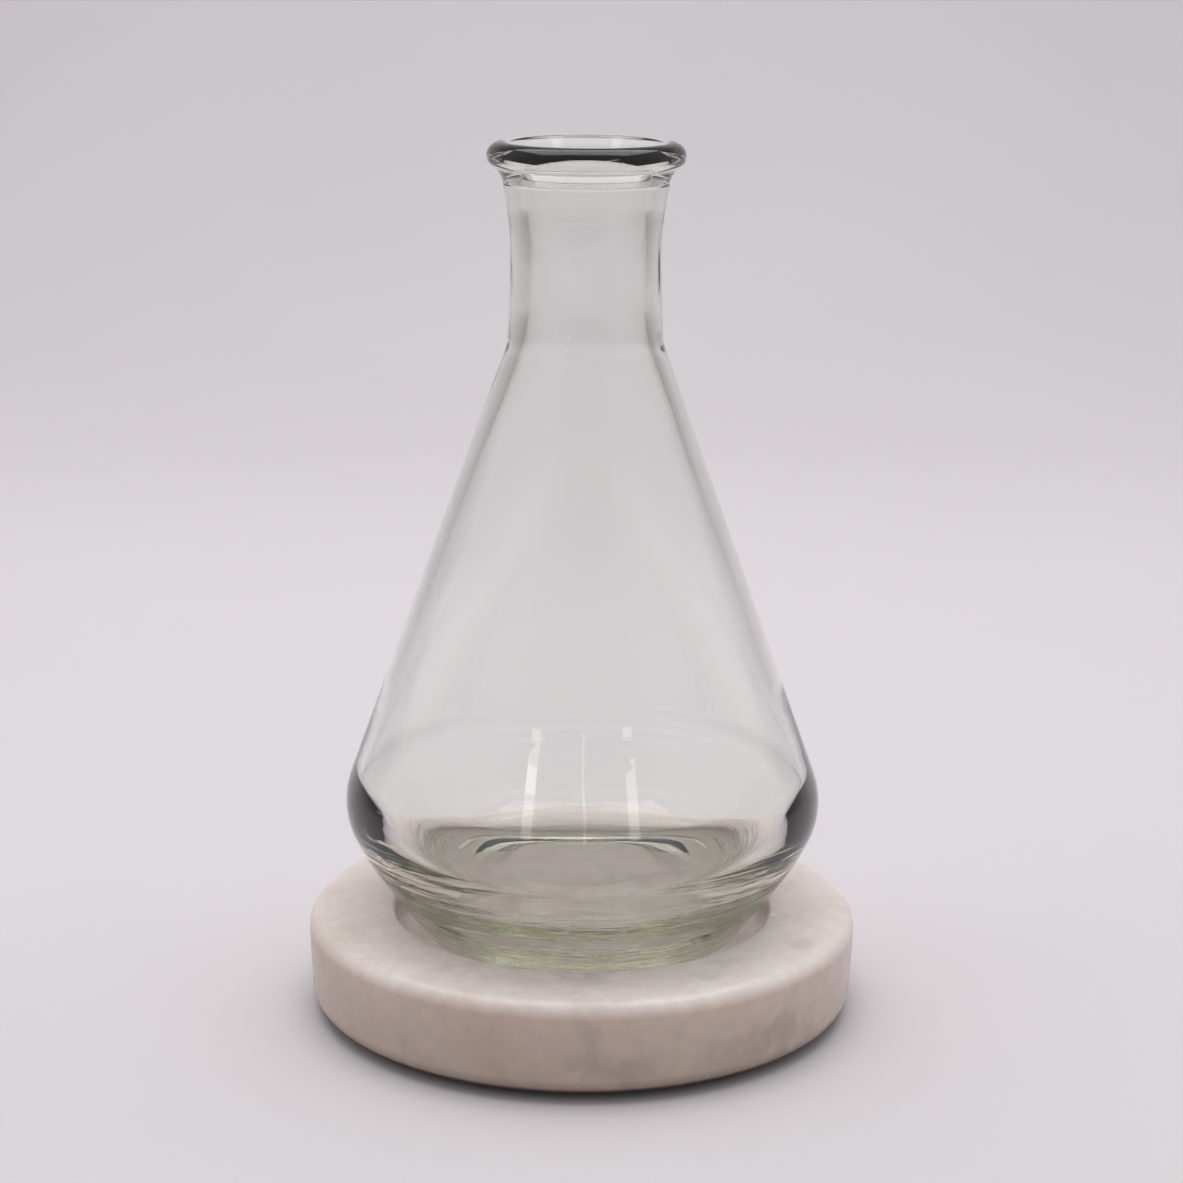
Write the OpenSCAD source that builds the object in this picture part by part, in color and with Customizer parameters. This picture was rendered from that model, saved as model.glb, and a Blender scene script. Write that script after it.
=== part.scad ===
// Conical laboratory flask standing in the turned recess of a round stone base.
// Origin: centre of the underside of the base pads. +Z is the common axis, upward.
// All lengths are millimetres.

/* [Stone base] */
// Diameter of the stone base
base_d = 100; // [96:1:120]
// Thickness of the stone base
base_t = 17; // [15:0.5:24]
// Radius of the rounded top edge
base_top_round = 2.6; // [1:0.2:4]
// Radius of the rounded lower edge
base_low_round = 3.6; // [1:0.2:5]
// Radius of the recess that takes the flask's foot
recess_r = 34.4; // [33.4:0.1:38]
// Depth of the recess
recess_depth = 4; // [3:0.5:7]
// Small round on the lip of the recess
recess_round = 0.8; // [0.4:0.1:1.2]

/* [Foot pads] */
// Diameter of each pad under the base
pad_d = 12; // [8:1:16]
// Thickness of each pad
pad_t = 1; // [0.8:0.1:2]
// Distance from the axis to each pad's centre
pad_pitch_r = 36; // [30:1:38]

/* [Flask] */
// Overall height of the flask
flask_h = 142.8; // [140:0.1:150]
// Radius at the sharp corner between foot and lower taper
foot_r = 28.9; // [28:0.1:30]
// Radius of the heel round
heel_round = 3; // [2:0.5:4]
// Radius where the lower taper meets the shoulder band
belly_low_r = 39.9; // [39:0.1:40.5]
// Radius of the widest corner before it is rounded
belly_r = 44.1; // [43.6:0.1:44.6]
// Outer radius of the neck at its foot
neck_low_r = 13.6; // [13.2:0.1:14]
// Outer radius of the neck at its slimmest
neck_r = 13.2; // [13:0.1:13.5]
// Outer radius of the neck just under the finish
neck_top_r = 14.5; // [14.2:0.1:15]
// Inner radius of the cylindrical neck bore
bore_r = 10.3; // [10:0.1:10.6]
// Outermost radius of the rolled lip
lip_r = 17.3; // [16.8:0.1:18]
// Half the height of the rolled lip
lip_half_h = 2.4; // [2.2:0.1:2.6]
// Thickness of the glass floor at the axis
floor_t = 7; // [6:0.5:9]
// Height of the shallow hollow under the foot
punt_h = 2; // [1:0.5:3]

/* [Hidden] */
$fn = 96;

base_r = base_d / 2;
base_z = pad_t;                         // underside of the stone
base_top = pad_t + base_t;              // top face of the stone
foot_z = base_top - recess_depth;       // floor of the recess, where the flask stands

// Points of an arc about c, from angle a0 to a1 in degrees.
function arc_pts(c, r, a0, a1, n) =
    [for (i = [0:n]) let (a = a0 + (a1 - a0) * i / n) [c[0] + r * cos(a), c[1] + r * sin(a)]];

// Outer radius of the straight cone at height z above the foot.
function cone_r(z) = belly_r + (neck_low_r - belly_r) * (z - h_belly) / (h_neck_low - h_belly);

function unit(v) = v / norm(v);

// A corner b between a and c, rounded to radius r with n steps.
// Both tangent points and the arc between them are returned.
function corner(a, b, c, r, n) =
    let (u = unit(a - b), v = unit(c - b), half = acos(max(-1, min(1, u * v))) / 2,
         t = r / tan(half), m = b + unit(u + v) * (r / sin(half)),
         p = b + u * t, q = b + v * t,
         a0 = atan2(p[1] - m[1], p[0] - m[0]), d = atan2(q[1] - m[1], q[0] - m[0]) - a0,
         s = d > 180 ? d - 360 : d < -180 ? d + 360 : d)
    [for (i = [0:n]) [m[0] + r * cos(a0 + s * i / n), m[1] + r * sin(a0 + s * i / n)]];

// A run of [r, z, round, steps] corners turned into one smooth outline.
function smooth(k) =
    [for (i = [0:len(k) - 1])
        let (b = [k[i][0], k[i][1]])
        for (p = (i == 0 || i == len(k) - 1 || k[i][2] == 0) ? [b]
                 : corner([k[i - 1][0], k[i - 1][1]], b, [k[i + 1][0], k[i + 1][1]], k[i][2], k[i][3])) p];

// Heights on the flask, above its own foot.
h_belly_low = 15.1;
h_belly = 23.9;
h_neck_low = flask_h - 35.1;
h_neck_slim = flask_h - 20.8;
h_flare = flask_h - 15.4;
h_finish = flask_h - 7.4;
h_lip = flask_h - lip_half_h;

// Outside of the flask from the axis under the foot up to the finish line.
outer_wall = smooth([
    [0, punt_h, 0, 0],
    [14, punt_h - 0.2, 12, 4],
    [22.5, 0, 3, 4],
    [foot_r, 0, heel_round, 8],
    [belly_low_r, h_belly_low, 40, 6],
    [belly_r, h_belly, 13, 10],
    [neck_low_r, h_neck_low, 7, 6],
    [neck_r, h_neck_slim, 60, 3],
    [neck_r, h_flare, 42, 6],
    [neck_top_r, h_finish, 0, 0]
]);

// Outer half of the rolled lip, from its underside up to the crest.
lip = [for (i = [0:11]) let (a = -62 + 152 * i / 11)
    [lip_r - 2.7 + 2.7 * cos(a), h_lip + lip_half_h * sin(a)]];

// Inside of the flask from the crest of the lip, down the funnel of the mouth, the bore,
// the cone and the bowl, to the middle of the floor.
inner_wall = smooth([
    [lip_r - 2.8, flask_h - 0.02, 0, 0],
    [lip_r - 3.4, flask_h - 0.06, 0.8, 3],
    [11.7, flask_h - 3.3, 2, 4],
    [11.05, flask_h - 7.2, 8, 3],
    [bore_r, flask_h - 12.5, 20, 3],
    [bore_r, flask_h - 34.2, 28, 6],
    [cone_r(flask_h - 76.8) - 2.2, flask_h - 76.8, 120, 4],
    [cone_r(flask_h - 96.8) - 2.1, flask_h - 96.8, 120, 4],
    [belly_r - 2.9, h_belly + 1.1, 12, 8],
    [28.9, floor_t, 18, 10],
    [0, floor_t, 0, 0]
]);

flask_outline = concat(
    outer_wall,
    [[neck_top_r - 0.12, h_finish + 0.3], [neck_top_r + 0.4, h_finish + 1.6]],
    lip, inner_wall);

module flask() {
    color([0.80, 0.86, 0.83, 0.45])
        translate([0, 0, foot_z])
            rotate_extrude($fn = 128) polygon(flask_outline);
}

base_outline = smooth([
    [0, base_z, 0, 0],
    [base_r - 0.6, base_z, base_low_round, 8],
    [base_r, base_z + 11, 60, 3],
    [base_r, base_top, base_top_round, 8],
    [recess_r, base_top, recess_round, 4],
    [recess_r, foot_z, 1.2, 4],
    [0, foot_z, 0, 0]
]);

module marble_base() {
    color([0.83, 0.80, 0.78])
        rotate_extrude($fn = 128) polygon(base_outline);
}

module pad(a) {
    color([0.20, 0.17, 0.15])
        rotate([0, 0, a]) translate([pad_pitch_r, 0, 0])
            rotate_extrude($fn = 48) polygon([[0, 0], [pad_d / 2 - 0.15, 0], [pad_d / 2, 0.15],
                [pad_d / 2, pad_t], [0, pad_t]]);
}

module foot_pad_front_left() { pad(225); }
module foot_pad_front_right() { pad(315); }
module foot_pad_back_left() { pad(135); }
module foot_pad_back_right() { pad(45); }

flask();
marble_base();
foot_pad_front_left();
foot_pad_front_right();
foot_pad_back_left();
foot_pad_back_right();
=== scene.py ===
import bpy, math
import numpy as np
from mathutils import Vector, Matrix, noise


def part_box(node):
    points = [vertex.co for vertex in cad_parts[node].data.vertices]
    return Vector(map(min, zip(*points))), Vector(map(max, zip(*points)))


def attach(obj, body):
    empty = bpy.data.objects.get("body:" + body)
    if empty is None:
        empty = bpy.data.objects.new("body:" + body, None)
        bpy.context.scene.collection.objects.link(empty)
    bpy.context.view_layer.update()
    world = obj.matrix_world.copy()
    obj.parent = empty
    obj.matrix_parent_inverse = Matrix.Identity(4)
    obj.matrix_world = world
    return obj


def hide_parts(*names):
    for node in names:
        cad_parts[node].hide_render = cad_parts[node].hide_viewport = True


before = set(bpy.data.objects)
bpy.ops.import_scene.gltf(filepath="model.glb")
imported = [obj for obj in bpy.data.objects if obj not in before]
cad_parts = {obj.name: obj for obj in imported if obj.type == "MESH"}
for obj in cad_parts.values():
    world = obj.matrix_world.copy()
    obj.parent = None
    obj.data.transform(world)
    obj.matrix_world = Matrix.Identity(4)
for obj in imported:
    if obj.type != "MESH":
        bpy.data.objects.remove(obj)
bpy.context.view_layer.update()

MM = 0.001

# ------------------------------------------------------------------ outlines
def unit(v):
    n = math.hypot(v[0], v[1])
    return (v[0] / n, v[1] / n)


def corner(a, b, c, r, n):
    """The corner b of a-b-c rounded to radius r, as n + 1 points."""
    u = unit((a[0] - b[0], a[1] - b[1]))
    v = unit((c[0] - b[0], c[1] - b[1]))
    half = math.acos(max(-1.0, min(1.0, u[0] * v[0] + u[1] * v[1]))) / 2
    t = r / math.tan(half)
    w = unit((u[0] + v[0], u[1] + v[1]))
    m = (b[0] + w[0] * r / math.sin(half), b[1] + w[1] * r / math.sin(half))
    p = (b[0] + u[0] * t, b[1] + u[1] * t)
    q = (b[0] + v[0] * t, b[1] + v[1] * t)
    a0 = math.atan2(p[1] - m[1], p[0] - m[0])
    d = math.atan2(q[1] - m[1], q[0] - m[0]) - a0
    d = (d + math.pi) % (2 * math.pi) - math.pi
    return [(m[0] + r * math.cos(a0 + d * i / n), m[1] + r * math.sin(a0 + d * i / n)) for i in range(n + 1)]


def smooth(k, step=0.8):
    """[(r, z, round)] corners as one dense outline; the steps follow the size of each round."""
    out = []
    for i, b in enumerate(k):
        if i == 0 or i == len(k) - 1 or b[2] == 0:
            out.append((b[0], b[1]))
        else:
            a, c = k[i - 1], k[i + 1]
            n = 14 if b[2] < 10 else 12
            out += corner(a[:2], b[:2], c[:2], b[2], n)
    return densify(out, step)


def densify(pts, step):
    out = [pts[0]]
    for p, q in zip(pts, pts[1:]):
        L = math.hypot(q[0] - p[0], q[1] - p[1])
        n = max(1, int(math.ceil(L / step)))
        for i in range(1, n + 1):
            out.append((p[0] + (q[0] - p[0]) * i / n, p[1] + (q[1] - p[1]) * i / n))
    return out


def lathe(name, outline, seg, close_axis=True, move=None):
    """A closed surface of revolution about Z from an outline in mm that starts and ends on the axis.
    move(r, z, angle, s) gives the radial and axial shift, in mm, of a point."""
    pts = [p for i, p in enumerate(outline) if i == 0 or math.hypot(p[0] - outline[i - 1][0], p[1] - outline[i - 1][1]) > 1e-4]
    verts, faces, rings = [], [], []
    for i, (r, z) in enumerate(pts):
        if r < 1e-6:
            rings.append([len(verts)])
            verts.append((0.0, 0.0, z * MM))
            continue
        ring = []
        for j in range(seg):
            a = 2 * math.pi * j / seg
            rr, zz = r, z
            if move is not None:
                dr, dz = move(r, z, a, i)
                rr += dr
                zz += dz
            ring.append(len(verts))
            verts.append((rr * math.cos(a) * MM, rr * math.sin(a) * MM, zz * MM))
        rings.append(ring)
    for p, q in zip(rings, rings[1:]):
        for j in range(seg):
            k = (j + 1) % seg
            if len(p) == 1 and len(q) > 1:
                faces.append((p[0], q[k], q[j]))
            elif len(q) == 1 and len(p) > 1:
                faces.append((p[j], p[k], q[0]))
            elif len(p) > 1:
                faces.append((p[j], p[k], q[k], q[j]))
    me = bpy.data.meshes.new(name)
    me.from_pydata(verts, [], faces)
    me.validate()
    me.update()
    o = bpy.data.objects.new(name, me)
    bpy.context.scene.collection.objects.link(o)
    for f in me.polygons:
        f.use_smooth = True
    return o


# ------------------------------------------------------------------ shader helpers
def new_mat(name):
    m = bpy.data.materials.new(name)
    m.use_nodes = True
    nt = m.node_tree
    nt.nodes.clear()
    return m, nt


def node(nt, kind, **kw):
    n = nt.nodes.new(kind)
    for k, v in kw.items():
        if k in n.inputs.keys():
            n.inputs[k].default_value = v
        else:
            setattr(n, k, v)
    return n


def link(nt, a, b):
    nt.links.new(a, b)


def ramp(nt, fac, stops):
    r = nt.nodes.new("ShaderNodeValToRGB")
    e = r.color_ramp.elements
    while len(e) > 1:
        e.remove(e[-1])
    e[0].position = stops[0][0]
    e[0].color = stops[0][1]
    for p, c in stops[1:]:
        x = e.new(p)
        x.color = c
    link(nt, fac, r.inputs["Fac"])
    return r


def grey(v):
    return (v, v, v, 1.0)


# ------------------------------------------------------------------ the flask
FOOT_Z = 14.0
FLASK_H = 142.8
FLOOR_T = 7.0
NT, LIP_R, LIP_HH = 14.5, 17.3, 2.4
LIP_DIP = 1.3
LIP_IN = [(14.5, FLASK_H - 0.02, 0), (13.9, FLASK_H - 0.06, 0.8), (11.7, FLASK_H - 3.3, 2)]
LOW_IN = [(41.2, 25.0, 12), (28.9, FLOOR_T, 18), (0, FLOOR_T, 0)]


def flask_outline():
    H = FLASK_H
    hf, hl = H - 7.4, H - LIP_HH
    outer = smooth([
        (0, 2.0, 0), (14, 1.8, 12), (22.5, 0.03, 3), (28.9, 0.03, 3),
        (39.9, 15.1, 40), (44.1, 23.9, 13),
        (13.6, H - 35.1, 7), (13.2, H - 20.8, 60), (13.2, H - 15.4, 42), (NT, hf, 0)])
    finish = smooth([(NT, hf + 0.02, 0), (NT - 0.12, hf + 0.3, 0.2), (NT + 0.4, hf + 1.6, 2), (15.7, hf + 2.9, 0)], 0.2)
    lip = []
    for i in range(0, 39):
        a = math.radians(-62 + 152 * i / 38)
        lip.append((LIP_R - 2.7 + 2.7 * math.cos(a), hl + (LIP_HH - 0.01) * math.sin(a)))
    inner = smooth(LIP_IN + [
        (11.05, H - 7.2, 8), (10.3, H - 12.5, 20), (10.3, H - 34.2, 28),
        (26.58, H - 76.8, 120), (33.96, H - 96.8, 120)] + LOW_IN, 0.5)
    n_out = len(outer) + len(finish) + len(lip)
    pts = outer + finish + lip + inner
    return [(r, z + FOOT_Z) for r, z in pts], n_out


outline, n_outer = flask_outline()


def glass_wobble(r, z, a, i):
    """Hand-made glass: the inside follows the outside only roughly, and the outside is nearly true."""
    x, y = math.cos(a), math.sin(a)
    # the mouth was rolled by hand: its front lies a little lower than its back
    t = min(1.0, max(0.0, (z - 143.0) / 9.0))
    dip = -LIP_DIP * t * t * (3 - 2 * t) * (0.5 - 0.5 * y)
    if i < n_outer:
        k = 0.02 if z > 30 else 0.012
        n1 = noise.noise(Vector((x * 1.7, y * 1.7, z * 0.05)))
        return k * n1 * min(1.0, r / 6), dip
    n1 = noise.noise(Vector((x * 1.2 + 5, y * 1.2, z * 0.028)))
    n2 = noise.noise(Vector((x * 3.1 + 9, y * 3.1 + 4, z * 0.09)))
    fade = min(1.0, max(0.0, (150 - z) / 12.0))
    if z < 30 and r < 30:
        return 0.0, (0.10 * n1 + 0.05 * noise.noise(Vector((x * r * 0.12, y * r * 0.12, 3.0)))) * min(1.0, r / 5)
    return (0.16 * n1 + 0.06 * n2) * fade, dip


flask = lathe("flask_glass", outline, 256, move=glass_wobble)

STREAK = 0.0006
gm, nt = new_mat("clear_glass")
out = node(nt, "ShaderNodeOutputMaterial")
bs = node(nt, "ShaderNodeBsdfPrincipled")
bs.inputs["Base Color"].default_value = (1, 1, 1, 1)
bs.inputs["Transmission Weight"].default_value = 1.0
bs.inputs["IOR"].default_value = 1.52
tc = node(nt, "ShaderNodeTexCoord")
mp = node(nt, "ShaderNodeMapping")
mp.inputs["Scale"].default_value = (40, 40, 160)
link(nt, tc.outputs["Object"], mp.inputs["Vector"])
nz = node(nt, "ShaderNodeTexNoise")
nz.inputs["Scale"].default_value = 1.0
nz.inputs["Detail"].default_value = 2.0
link(nt, mp.outputs["Vector"], nz.inputs["Vector"])
rr = ramp(nt, nz.outputs["Fac"], [(0.35, grey(0.0)), (0.8, grey(0.012))])
link(nt, rr.outputs["Color"], bs.inputs["Roughness"])
bp = node(nt, "ShaderNodeBump")
bp.inputs["Strength"].default_value = 0.05
bp.inputs["Distance"].default_value = 0.0004
link(nt, nz.outputs["Fac"], bp.inputs["Height"])
# level streaks left by the mould in the outside of the thick heel
sxz = node(nt, "ShaderNodeSeparateXYZ"); link(nt, tc.outputs["Object"], sxz.inputs["Vector"])
cxy = node(nt, "ShaderNodeCombineXYZ"); link(nt, sxz.outputs["X"], cxy.inputs["X"]); link(nt, sxz.outputs["Y"], cxy.inputs["Y"])
rad = node(nt, "ShaderNodeVectorMath"); rad.operation = "LENGTH"; link(nt, cxy.outputs["Vector"], rad.inputs[0])
zk = node(nt, "ShaderNodeMath"); zk.operation = "MULTIPLY"; zk.inputs[1].default_value = -0.7; link(nt, sxz.outputs["Z"], zk.inputs[0])
rk = node(nt, "ShaderNodeMath"); rk.operation = "ADD"; link(nt, rad.outputs["Value"], rk.inputs[0]); link(nt, zk.outputs["Value"], rk.inputs[1])
mk1 = node(nt, "ShaderNodeMapRange"); mk1.inputs["From Min"].default_value = 0.0174; mk1.inputs["From Max"].default_value = 0.0182
link(nt, rk.outputs["Value"], mk1.inputs["Value"])
mk2 = node(nt, "ShaderNodeMapRange"); mk2.inputs["From Min"].default_value = 0.0300; mk2.inputs["From Max"].default_value = 0.0262
link(nt, sxz.outputs["Z"], mk2.inputs["Value"])
mk = node(nt, "ShaderNodeMath"); mk.operation = "MULTIPLY"; link(nt, mk1.outputs["Result"], mk.inputs[0]); link(nt, mk2.outputs["Result"], mk.inputs[1])
mps = node(nt, "ShaderNodeMapping"); mps.inputs["Scale"].default_value = (38, 38, 620)
link(nt, tc.outputs["Object"], mps.inputs["Vector"])
nst = node(nt, "ShaderNodeTexNoise"); nst.inputs["Scale"].default_value = 1.0; nst.inputs["Detail"].default_value = 3.0
link(nt, mps.outputs["Vector"], nst.inputs["Vector"])
hs = node(nt, "ShaderNodeMath"); hs.operation = "MULTIPLY"; link(nt, nst.outputs["Fac"], hs.inputs[0]); link(nt, mk.outputs["Value"], hs.inputs[1])
bp2 = node(nt, "ShaderNodeBump"); bp2.inputs["Strength"].default_value = 1.0; bp2.inputs["Distance"].default_value = STREAK
link(nt, hs.outputs["Value"], bp2.inputs["Height"]); link(nt, bp.outputs["Normal"], bp2.inputs["Normal"])
link(nt, bp2.outputs["Normal"], bs.inputs["Normal"])
va = node(nt, "ShaderNodeVolumeAbsorption")
va.inputs["Color"].default_value = (0.36, 0.37, 0.10, 1)
va.inputs["Density"].default_value = 16.0
link(nt, bs.outputs["BSDF"], out.inputs["Surface"])
link(nt, va.outputs["Volume"], out.inputs["Volume"])
flask.data.materials.append(gm)
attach(flask, "flask_body")
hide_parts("flask")

# ------------------------------------------------------------------ the stone base
base_pts = smooth([
    (0, 1.0, 0), (49.4, 1.0, 3.6), (49.98, 12.0, 60), (49.98, 18.0, 2.6),
    (34.4, 18.0, 0.8), (34.4, 14.0, 1.2), (0, 14.0, 0)], 0.9)


def stone_wobble(r, z, a, i):
    x, y = math.cos(a), math.sin(a)
    n = noise.noise(Vector((x * 2.3, y * 2.3, z * 0.08)))
    k = -0.03 - 0.025 * n
    if r > 46:
        k -= 0.02 + 0.018 * noise.noise(Vector((x * 9, y * 9, z * 0.3)))
    return (k if r > 40 else 0.0), 0.0


base = lathe("marble_base_stone", base_pts, 256, move=stone_wobble)
mm, nt = new_mat("pale_marble")
out = node(nt, "ShaderNodeOutputMaterial")
bs = node(nt, "ShaderNodeBsdfPrincipled")
bs.inputs["IOR"].default_value = 1.49
bs.inputs["Specular IOR Level"].default_value = 0.5
tc = node(nt, "ShaderNodeTexCoord")
co = tc.outputs["Object"]
# slow drift of tone
n_a = node(nt, "ShaderNodeTexNoise"); n_a.inputs["Scale"].default_value = 22.0; n_a.inputs["Detail"].default_value = 5.0; n_a.inputs["Roughness"].default_value = 0.55
link(nt, co, n_a.inputs["Vector"])
cloud = ramp(nt, n_a.outputs["Fac"], [(0.30, (0.80, 0.70, 0.645, 1)), (0.48, (0.90, 0.80, 0.755, 1)), (0.62, (0.94, 0.855, 0.81, 1)), (0.75, (0.90, 0.80, 0.74, 1))])
cloud.color_ramp.interpolation = "EASE"
# soft veins: noise folded about its middle, the fold drawn as a thin band
n_w = node(nt, "ShaderNodeTexNoise"); n_w.inputs["Scale"].default_value = 14.0; n_w.inputs["Detail"].default_value = 3.0
link(nt, co, n_w.inputs["Vector"])
mixv = node(nt, "ShaderNodeMixRGB"); mixv.blend_type = "LINEAR_LIGHT"; mixv.inputs["Fac"].default_value = 0.010
link(nt, co, mixv.inputs["Color1"]); link(nt, n_w.outputs["Color"], mixv.inputs["Color2"])
n_v = node(nt, "ShaderNodeTexNoise"); n_v.inputs["Scale"].default_value = 26.0; n_v.inputs["Detail"].default_value = 4.0; n_v.inputs["Roughness"].default_value = 0.6
link(nt, mixv.outputs["Color"], n_v.inputs["Vector"])
vein = ramp(nt, n_v.outputs["Fac"], [(0.44, grey(0.0)), (0.495, grey(0.55)), (0.51, grey(0.55)), (0.57, grey(0.0))])
vein.color_ramp.interpolation = "EASE"
n_m = node(nt, "ShaderNodeTexNoise"); n_m.inputs["Scale"].default_value = 17.0; n_m.inputs["Detail"].default_value = 2.0
link(nt, co, n_m.inputs["Vector"])
vmask = ramp(nt, n_m.outputs["Fac"], [(0.45, grey(0.0)), (0.66, grey(1.0))])
vm = node(nt, "ShaderNodeMath"); vm.operation = "MULTIPLY"
link(nt, vein.outputs["Color"], vm.inputs[0]); link(nt, vmask.outputs["Color"], vm.inputs[1])
mixc = node(nt, "ShaderNodeMixRGB"); mixc.blend_type = "MIX"
link(nt, vm.outputs["Value"], mixc.inputs["Fac"]); link(nt, cloud.outputs["Color"], mixc.inputs["Color1"])
mixc.inputs["Color2"].default_value = (0.56, 0.52, 0.52, 1)
# fine crystal grain
n_g = node(nt, "ShaderNodeTexNoise"); n_g.inputs["Scale"].default_value = 420.0; n_g.inputs["Detail"].default_value = 3.0
link(nt, co, n_g.inputs["Vector"])
gr = ramp(nt, n_g.outputs["Fac"], [(0.3, grey(0.94)), (0.7, grey(1.05))])
mixg = node(nt, "ShaderNodeMixRGB"); mixg.blend_type = "MULTIPLY"; mixg.inputs["Fac"].default_value = 0.8
link(nt, mixc.outputs["Color"], mixg.inputs["Color1"]); link(nt, gr.outputs["Color"], mixg.inputs["Color2"])
# painted shade: the outer wall and the underside are darkened and warmed against the top, darker towards the bottom,
# with a near-black band along the lower edge that is a painted contact shadow
sz = node(nt, "ShaderNodeSeparateXYZ"); link(nt, co, sz.inputs["Vector"])
zm = node(nt, "ShaderNodeMath"); zm.operation = "MULTIPLY"; zm.inputs[1].default_value = 50.0
link(nt, sz.outputs["Z"], zm.inputs[0])
# painted shade by height: a near-black painted contact shadow at the bottom edge, then the wall darkened up to the top
# fillet
painted_shade_ramp = ramp(nt, zm.outputs["Value"], [(0.075, (0.03, 0.017, 0.010, 1)), (0.105, (0.10, 0.07, 0.055, 1)), (0.135, (0.44, 0.38, 0.34, 1)), (0.22, (0.62, 0.57, 0.52, 1)), (0.50, (0.66, 0.61, 0.56, 1)), (0.76, (0.70, 0.64, 0.59, 1)), (0.875, (1, 1, 1, 1))])
cx = node(nt, "ShaderNodeCombineXYZ"); link(nt, sz.outputs["X"], cx.inputs["X"]); link(nt, sz.outputs["Y"], cx.inputs["Y"])
ln = node(nt, "ShaderNodeVectorMath"); ln.operation = "LENGTH"; link(nt, cx.outputs["Vector"], ln.inputs[0])
rs = node(nt, "ShaderNodeMapRange"); rs.inputs["From Min"].default_value = 0.0445; rs.inputs["From Max"].default_value = 0.0470
link(nt, ln.outputs["Value"], rs.inputs["Value"])
us = node(nt, "ShaderNodeMapRange"); us.inputs["From Min"].default_value = 0.006; us.inputs["From Max"].default_value = 0.005
link(nt, sz.outputs["Z"], us.inputs["Value"])
# the painted shade covers the outer wall and the underside of the stone
painted_shade_mask = node(nt, "ShaderNodeMath"); painted_shade_mask.operation = "MAXIMUM"; link(nt, rs.outputs["Result"], painted_shade_mask.inputs[0]); link(nt, us.outputs["Result"], painted_shade_mask.inputs[1])
painted_shade_mix = node(nt, "ShaderNodeMixRGB"); painted_shade_mix.blend_type = "MULTIPLY"
link(nt, painted_shade_mask.outputs["Value"], painted_shade_mix.inputs["Fac"]); link(nt, mixg.outputs["Color"], painted_shade_mix.inputs["Color1"])
link(nt, painted_shade_ramp.outputs["Color"], painted_shade_mix.inputs["Color2"])
link(nt, painted_shade_mix.outputs["Color"], bs.inputs["Base Color"])
rgh = ramp(nt, n_a.outputs["Fac"], [(0.3, grey(0.32)), (0.7, grey(0.22))])
link(nt, rgh.outputs["Color"], bs.inputs["Roughness"])
bp = node(nt, "ShaderNodeBump"); bp.inputs["Strength"].default_value = 0.12; bp.inputs["Distance"].default_value = 0.0003
link(nt, n_g.outputs["Fac"], bp.inputs["Height"]); link(nt, bp.outputs["Normal"], bs.inputs["Normal"])
bs.inputs["Subsurface Weight"].default_value = 0.4
bs.inputs["Subsurface Radius"].default_value = (1.0, 0.92, 0.82)
bs.inputs["Subsurface Scale"].default_value = 0.007
link(nt, bs.outputs["BSDF"], out.inputs["Surface"])
base.data.materials.append(mm)
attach(base, "base")
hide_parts("marble_base")

# ------------------------------------------------------------------ the pads under the stone
pm, nt = new_mat("pad_rubber")
out = node(nt, "ShaderNodeOutputMaterial")
bs = node(nt, "ShaderNodeBsdfPrincipled")
tc = node(nt, "ShaderNodeTexCoord")
n_p = node(nt, "ShaderNodeTexNoise"); n_p.inputs["Scale"].default_value = 900.0; n_p.inputs["Detail"].default_value = 3.0
link(nt, tc.outputs["Object"], n_p.inputs["Vector"])
pc = ramp(nt, n_p.outputs["Fac"], [(0.3, (0.032, 0.027, 0.025, 1)), (0.7, (0.06, 0.052, 0.047, 1))])
link(nt, pc.outputs["Color"], bs.inputs["Base Color"])
pr = ramp(nt, n_p.outputs["Fac"], [(0.3, grey(0.85)), (0.7, grey(0.65))])
link(nt, pr.outputs["Color"], bs.inputs["Roughness"])
bp = node(nt, "ShaderNodeBump"); bp.inputs["Strength"].default_value = 0.3; bp.inputs["Distance"].default_value = 0.0002
link(nt, n_p.outputs["Fac"], bp.inputs["Height"]); link(nt, bp.outputs["Normal"], bs.inputs["Normal"])
link(nt, bs.outputs["BSDF"], out.inputs["Surface"])
for tag in ("front_left", "front_right", "back_left", "back_right"):
    lo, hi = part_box("foot_pad_" + tag)
    cx, cy, R = (lo[0] + hi[0]) / 2, (lo[1] + hi[1]) / 2, (hi[0] - lo[0]) / 2 / MM
    o = lathe("pad_" + tag, smooth([(0, 0.0, 0), (R - 0.02, 0.0, 0.35), (R - 0.02, 1.0, 0.1), (0, 1.0, 0)], 1.0), 64)
    o.data.transform(Matrix.Translation((cx, cy, 0)))
    o.data.materials.append(pm)
    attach(o, "base")
    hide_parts("foot_pad_" + tag)

# ------------------------------------------------------------------ floor and backdrop
Y1, RC, ZT, XW = 0.62, 0.55, 1.7, 2.2
prof = [(-1.6, 0.0)] + [(-1.6 + (Y1 + 1.6) * i / 20, 0.0) for i in range(1, 21)]
prof += [(Y1 + RC * math.sin(math.radians(a)), RC - RC * math.cos(math.radians(a))) for a in range(3, 91, 3)]
prof += [(Y1 + RC, RC + (ZT - RC) * i / 6) for i in range(1, 7)]
sv, sf = [], []
for i, (y, z) in enumerate(prof):
    sv += [(-XW, y, z), (XW, y, z)]
    if i:
        sf.append((2 * i - 2, 2 * i - 1, 2 * i + 1, 2 * i))
me = bpy.data.meshes.new("sweep")
me.from_pydata(sv, [], sf)
me.update()
sweep = bpy.data.objects.new("sweep", me)
bpy.context.scene.collection.objects.link(sweep)
for f in me.polygons:
    f.use_smooth = True
fm, nt = new_mat("paper")
out = node(nt, "ShaderNodeOutputMaterial")
bs = node(nt, "ShaderNodeBsdfPrincipled")
tc = node(nt, "ShaderNodeTexCoord")
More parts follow.
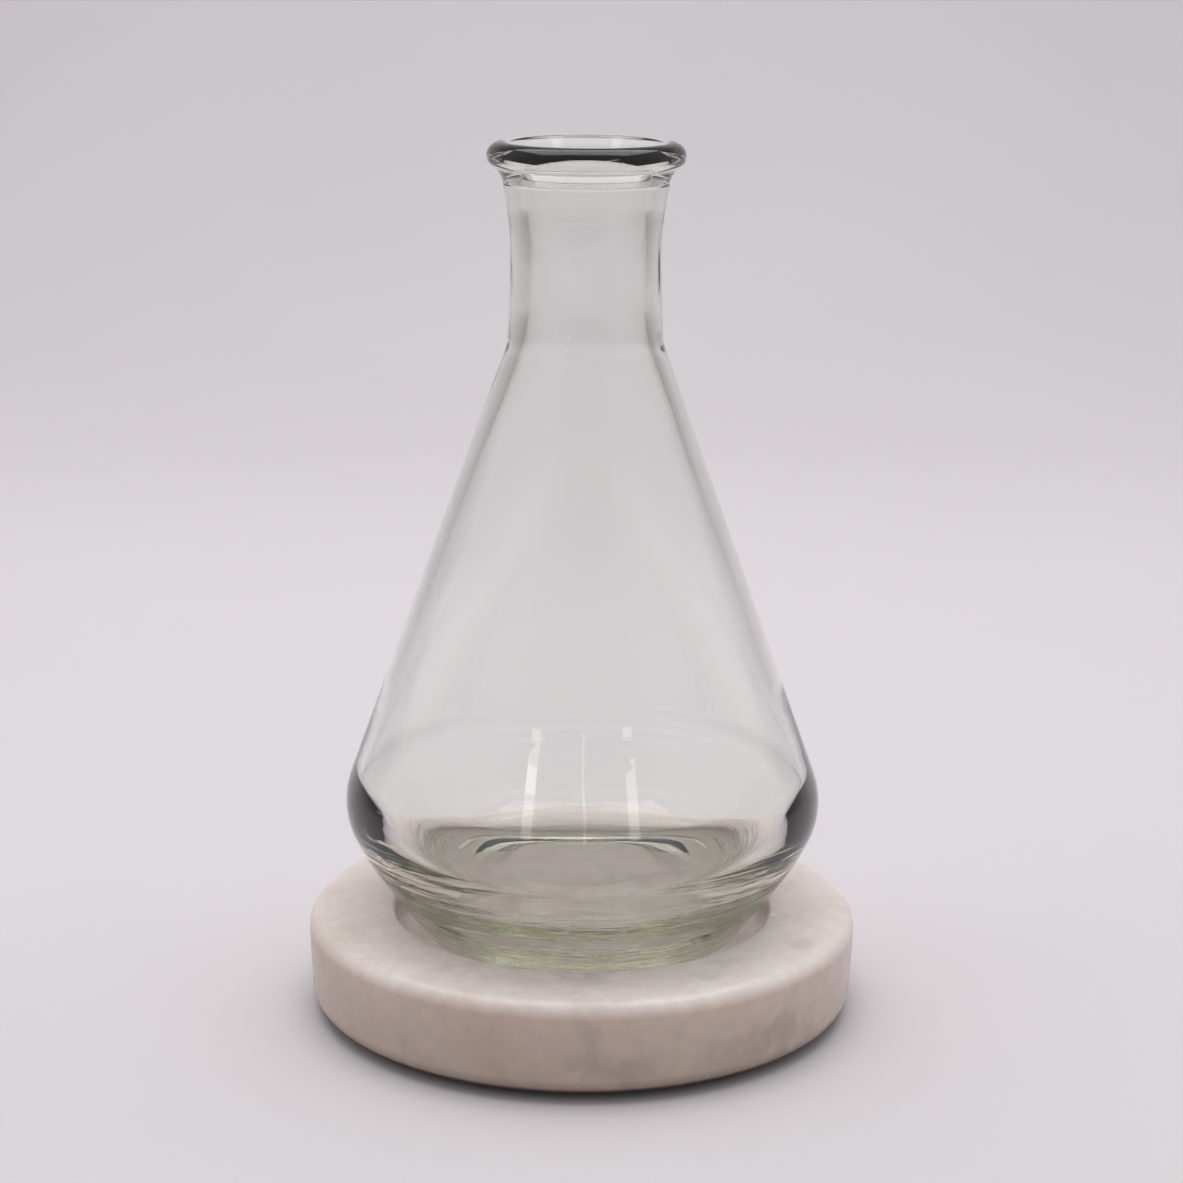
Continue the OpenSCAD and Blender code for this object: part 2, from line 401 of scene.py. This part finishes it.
n_f = node(nt, "ShaderNodeTexNoise"); n_f.inputs["Scale"].default_value = 6.0; n_f.inputs["Detail"].default_value = 2.0
link(nt, tc.outputs["Object"], n_f.inputs["Vector"])
fc = ramp(nt, n_f.outputs["Fac"], [(0.3, (0.748, 0.712, 0.738, 1)), (0.7, (0.762, 0.726, 0.752, 1))])
link(nt, fc.outputs["Color"], bs.inputs["Base Color"])
bs.inputs["Roughness"].default_value = 0.9
bs.inputs["Specular IOR Level"].default_value = 0.2
link(nt, bs.outputs["BSDF"], out.inputs["Surface"])
me.materials.append(fm)

# ------------------------------------------------------------------ light
def area(name, loc, target, sx, sy, power, color=(1, 1, 1), spread=180):
    d = bpy.data.lights.new(name, "AREA")
    d.shape = "RECTANGLE"
    d.size, d.size_y = sx, sy
    d.energy = power
    d.color = color
    d.spread = math.radians(spread)
    o = bpy.data.objects.new(name, d)
    o.location = loc
    o.rotation_euler = (Vector(target) - Vector(loc)).to_track_quat("-Z", "Y").to_euler()
    bpy.context.scene.collection.objects.link(o)
    return o


area("top_soft", (0.0, 0.22, 0.95), (0, 0.2, 0), 1.1, 0.9, 6.0)

# three lamps high on the camera's side, seen as upright streaks in the front of the cone
area("streak_left", (-0.54, -1.07, 0.492), (0, -0.04, 0.06), 0.11, 0.062, 0.060)
area("streak_right", (0.51, -1.08, 0.492), (0, -0.04, 0.06), 0.11, 0.062, 0.060)
area("streak_mid", (0.022, -1.20, 0.492), (0, -0.04, 0.06), 0.028, 0.060, 0.011)

w = bpy.data.worlds.new("studio")
bpy.context.scene.world = w
w.use_nodes = True
nt = w.node_tree
nt.nodes.clear()
wo = node(nt, "ShaderNodeOutputWorld")
bg = node(nt, "ShaderNodeBackground")
tc = node(nt, "ShaderNodeTexCoord")
sp = node(nt, "ShaderNodeSeparateXYZ")
link(nt, tc.outputs["Generated"], sp.inputs["Vector"])
# an open light tent: bright above, behind and at both sides, dim where the room shows on the camera's side
mr = node(nt, "ShaderNodeMapRange")
mr.inputs["From Min"].default_value = -1.0
mr.inputs["From Max"].default_value = 1.0
link(nt, sp.outputs["Y"], mr.inputs["Value"])
wr = ramp(nt, mr.outputs["Result"], [(0.0, (0.24, 0.235, 0.23, 1)), (0.07, (0.31, 0.305, 0.30, 1)), (0.18, (0.52, 0.515, 0.51, 1)), (0.5, (0.58, 0.575, 0.58, 1)), (1.0, (0.60, 0.59, 0.60, 1))])
link(nt, wr.outputs["Color"], bg.inputs["Color"])
bg.inputs["Strength"].default_value = 1.0
link(nt, bg.outputs["Background"], wo.inputs["Surface"])

# ------------------------------------------------------------------ camera
cam_d = bpy.data.cameras.new("camera")
cam = bpy.data.objects.new("camera", cam_d)
bpy.context.scene.collection.objects.link(cam)
cam_d.sensor_width = 36.0
cam_d.sensor_height = 36.0
cam_d.sensor_fit = "HORIZONTAL"
cam_d.lens = 2399.0 / 1183.0 * 36.0
cam_d.clip_start = 0.02
cam_d.clip_end = 20.0
PITCH, YAW, ROLL = 0.2226, -0.0033, 0.0071
view = Matrix.Rotation(math.pi / 2 - PITCH, 4, "X")
cam.matrix_world = Matrix.Translation((0.0, -0.42, 0.1717)) @ Matrix.Rotation(YAW, 4, "Z") @ view @ Matrix.Rotation(ROLL, 4, "Z")
bpy.context.scene.camera = cam

sc = bpy.context.scene
sc.view_settings.view_transform = "Standard"
sc.view_settings.look = "None"
sc.view_settings.exposure = 0.0
sc.cycles.max_bounces = 24
sc.cycles.transmission_bounces = 20
sc.cycles.glossy_bounces = 10
sc.cycles.diffuse_bounces = 5
sc.cycles.transparent_max_bounces = 16
sc.cycles.use_denoising = True
sc.cycles.blur_glossy = 0.3
sc.cycles.sample_clamp_indirect = 8.0
